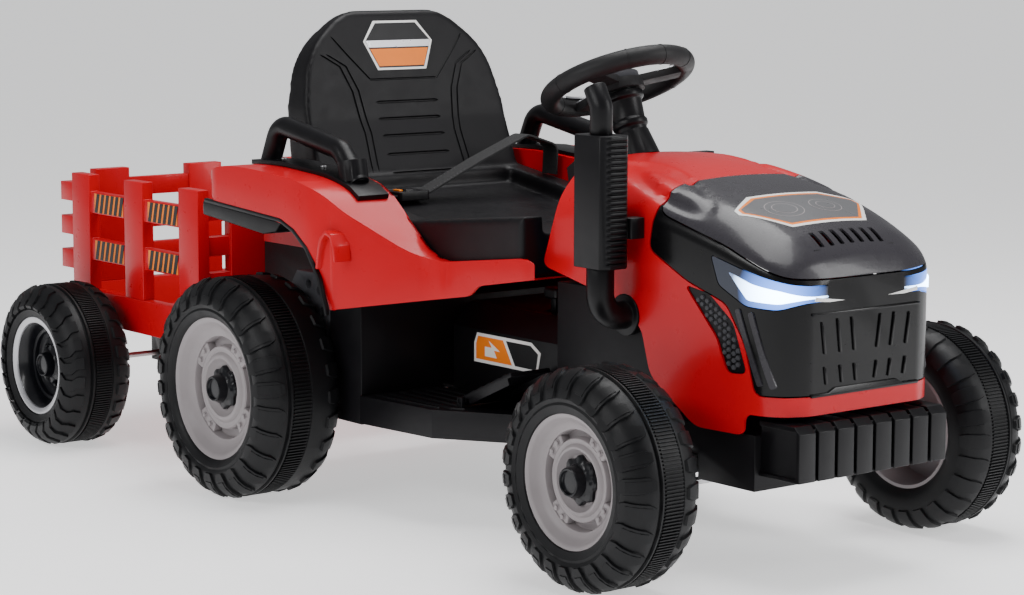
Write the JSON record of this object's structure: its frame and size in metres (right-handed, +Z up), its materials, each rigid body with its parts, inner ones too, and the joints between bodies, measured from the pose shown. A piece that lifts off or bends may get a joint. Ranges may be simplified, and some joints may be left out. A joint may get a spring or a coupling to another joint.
{
  "type": "ride-on toy tractor",
  "caption": "Ride-on toy tractor with a bucket seat, steered front wheels, foot pedal, grab handles, an upright exhaust and a fenced trailer on a hitch pin.",
  "frame": {"origin": "floor level under the middle of the bounding box", "axes": "+X forward, +Y to the rider's left, +Z up"},
  "size_m": [1.409, 0.718, 0.615],
  "materials": {
    "red_plastic": "gloss",
    "black_plastic": "satin",
    "nose_plastic": "gloss",
    "tyre_plastic": "satin",
    "rim_plastic": "satin",
    "seat_plastic": "satin",
    "lamp_lens": "gloss",
    "tail_lens": "gloss",
    "steel": "satin",
    "black_steel": "satin",
    "webbing": "woven",
    "grip": "matte",
    "grey_plastic": "satin",
    "button_plastic": "gloss",
    "battery_case": "matte"
  },
  "bodies": {
    "tractor": {"chassis": "black_plastic", "gearboxes": "grey_plastic", "battery": "battery_case", "controller": "black_plastic", "footboards": "black_plastic", "centre_console": "black_plastic", "rear_body": "red_plastic", "grab_handle_left": "black_plastic", "grab_handle_right": "black_plastic", "tail_light_housings": "black_plastic", "tail_light_lenses": "tail_lens", "seat": "seat_plastic", "belt_strap": "webbing", "belt_buckle": "black_plastic", "hood": "red_plastic", "nose_cap": "nose_plastic", "grille": "black_plastic", "headlights": "lamp_lens", "side_vents": "black_plastic", "dashboard": "black_plastic", "bumper": "black_plastic", "exhaust_pipe": "black_plastic", "exhaust_guard": "black_plastic", "front_axle": "steel", "rear_axle": "steel", "hitch_pin": "steel", "screws": "steel"},
    "steering": {"steering_column": "steel", "steering_wheel": "grip", "wheel_pad": "grey_plastic"},
    "horn_button": {"horn_button": "button_plastic"},
    "music_button": {"music_button": "button_plastic"},
    "power_button": {"power_button": "button_plastic"},
    "accelerator_pedal": {"accelerator_pedal": "black_plastic"},
    "gear_lever": {"gear_lever": "black_plastic"},
    "knuckle_left": {"knuckle_left": "steel"},
    "knuckle_right": {"knuckle_right": "steel"},
    "tie_rod": {"tie_rod": "steel"},
    "trailer": {"trailer_tub": "red_plastic", "trailer_side_fences": "red_plastic", "trailer_front_fence": "red_plastic", "trailer_tail_fence": "red_plastic", "trailer_drawbar": "black_steel", "trailer_axle": "steel"},
    "front_wheel_left": {"front_tyre_left": "tyre_plastic", "front_rim_left": "rim_plastic", "front_hub_cap_left": "black_plastic"},
    "rear_wheel_left": {"rear_tyre_left": "tyre_plastic", "rear_rim_left": "rim_plastic", "rear_hub_cap_left": "black_plastic"},
    "trailer_wheel_left": {"trailer_tyre_left": "tyre_plastic", "trailer_rim_left": "rim_plastic"},
    "front_wheel_right": {"front_tyre_right": "tyre_plastic", "front_rim_right": "rim_plastic", "front_hub_cap_right": "black_plastic"},
    "rear_wheel_right": {"rear_tyre_right": "tyre_plastic", "rear_rim_right": "rim_plastic", "rear_hub_cap_right": "black_plastic"},
    "trailer_wheel_right": {"trailer_tyre_right": "tyre_plastic", "trailer_rim_right": "rim_plastic"}
  },
  "joints": [
    {"name": "steering_wheel_turn", "type": "hinge", "parent": "tractor", "child": "steering", "pos_m": [0.26404, 0, 0.538], "axis": [-0.4179, 0, 0.9085], "range_deg": [-40, 40]},
    {"name": "knuckle_left_steer", "type": "hinge", "parent": "tractor", "child": "knuckle_left", "pos_m": [0.5395, 0.19, 0.1255], "axis": [0, 0, 1], "range_deg": [-24.2, 24.2]},
    {"name": "front_wheel_left_spin", "type": "hinge", "parent": "knuckle_left", "child": "front_wheel_left", "pos_m": [0.5395, 0.26, 0.1255], "axis": [0, 1, 0], "continuous": true},
    {"name": "rear_wheel_left_spin", "type": "hinge", "parent": "tractor", "child": "rear_wheel_left", "pos_m": [-0.1185, 0.29, 0.1425], "axis": [0, 1, 0], "continuous": true},
    {"name": "trailer_wheel_left_spin", "type": "hinge", "parent": "trailer", "child": "trailer_wheel_left", "pos_m": [-0.5705, 0.3, 0.1144], "axis": [0, 1, 0], "continuous": true},
    {"name": "knuckle_right_steer", "type": "hinge", "parent": "tractor", "child": "knuckle_right", "pos_m": [0.5395, -0.19, 0.1255], "axis": [0, 0, 1], "range_deg": [-24.2, 24.2]},
    {"name": "front_wheel_right_spin", "type": "hinge", "parent": "knuckle_right", "child": "front_wheel_right", "pos_m": [0.5395, -0.26, 0.1255], "axis": [0, 1, 0], "continuous": true},
    {"name": "rear_wheel_right_spin", "type": "hinge", "parent": "tractor", "child": "rear_wheel_right", "pos_m": [-0.1185, -0.29, 0.1425], "axis": [0, 1, 0], "continuous": true},
    {"name": "trailer_wheel_right_spin", "type": "hinge", "parent": "trailer", "child": "trailer_wheel_right", "pos_m": [-0.5705, -0.3, 0.1144], "axis": [0, 1, 0], "continuous": true},
    {"name": "tie_rod_slide", "type": "slide", "parent": "tractor", "child": "tie_rod", "axis": [0, 1, 0], "range_m": [-0.0213, 0.0213]},
    {"name": "trailer_yaw", "type": "hinge", "parent": "tractor", "child": "trailer", "pos_m": [-0.2685, 0, 0.15], "axis": [0, 0, 1], "range_deg": [-10, 10]},
    {"name": "accelerator_press", "type": "hinge", "parent": "tractor", "child": "accelerator_pedal", "pos_m": [0.1915, -0.152, 0.153], "axis": [0, 1, 0], "range_deg": [0, 12], "stiffness_Nm_per_rad": 0.6, "springref_deg": -22.92},
    {"name": "gear_lever_shift", "type": "hinge", "parent": "tractor", "child": "gear_lever", "pos_m": [0.2215, -0.06, 0.243], "axis": [0, 1, 0], "range_deg": [-15, 15]},
    {"name": "horn_press", "type": "slide", "parent": "steering", "child": "horn_button", "axis": [0.4179, 0, -0.9085], "range_m": [0, 0.002], "stiffness_N_per_m": 200, "springref_m": -0.003},
    {"name": "music_press", "type": "slide", "parent": "steering", "child": "music_button", "axis": [0.4179, 0, -0.9085], "range_m": [0, 0.002], "stiffness_N_per_m": 200, "springref_m": -0.003},
    {"name": "power_press", "type": "slide", "parent": "tractor", "child": "power_button", "axis": [1, 0, 0], "range_m": [0, 0.003], "stiffness_N_per_m": 300, "springref_m": -0.003}
  ],
  "couplings": [
    {"joint": "knuckle_left_steer", "follows": "steering_wheel_turn", "ratio": 0.6},
    {"joint": "knuckle_right_steer", "follows": "steering_wheel_turn", "ratio": 0.6},
    {"joint": "tie_rod_slide", "follows": "steering_wheel_turn", "m_per_rad": -0.03}
  ]
}
